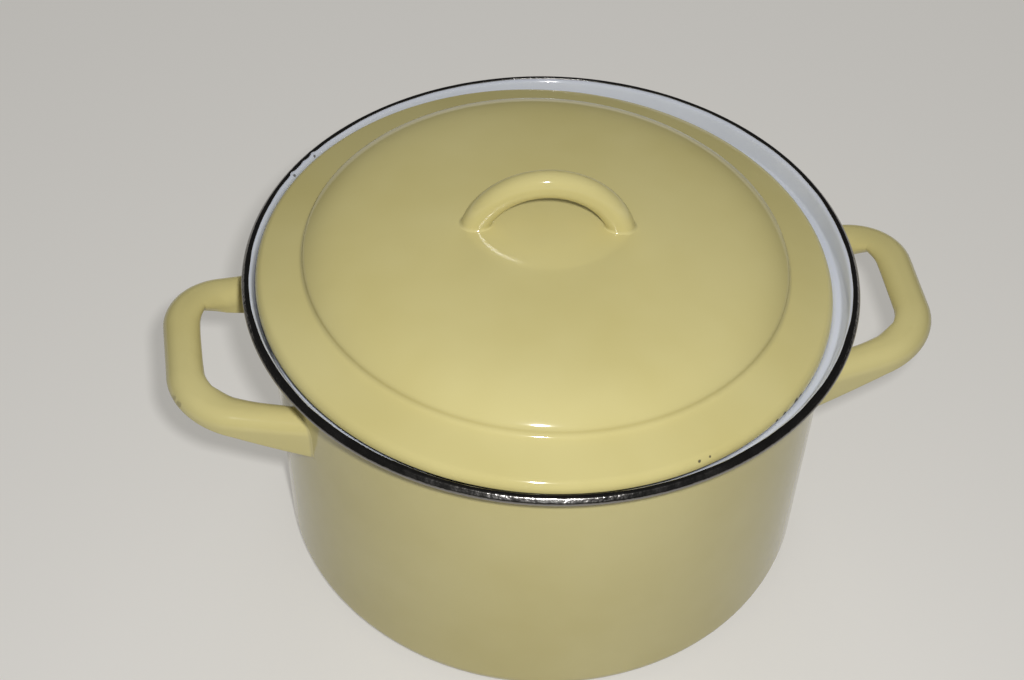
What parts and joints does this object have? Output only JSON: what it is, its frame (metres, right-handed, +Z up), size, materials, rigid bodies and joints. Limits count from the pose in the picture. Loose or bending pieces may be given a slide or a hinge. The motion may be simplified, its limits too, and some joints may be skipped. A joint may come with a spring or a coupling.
{
  "type": "enamel pot",
  "caption": "Round enamelled steel casserole with a steel-banded lip, open side handles and a loose domed lid that drops into a stepped mouth and lifts off by its arched handle.",
  "frame": {"origin": "middle of the pot's base, on the surface that it stands on", "axes": "+X through the right side handle, +Z up"},
  "size_m": [0.3315, 0.26, 0.1905],
  "materials": {
    "yellow_enamel": "glossy vitreous enamel, pale yellow outside and white inside the pot",
    "rim_steel": "polished stainless steel"
  },
  "bodies": {
    "pot": {"pot_body": "yellow_enamel", "rim_band": "rim_steel", "left_handle": "yellow_enamel", "right_handle": "yellow_enamel"},
    "lid": {"lid": "yellow_enamel", "lid_handle": "yellow_enamel"}
  },
  "joints": [
    {"name": "lid_lift", "type": "slide", "parent": "pot", "child": "lid", "axis": [0, 0, 1], "range_m": [0, 0.2]}
  ]
}
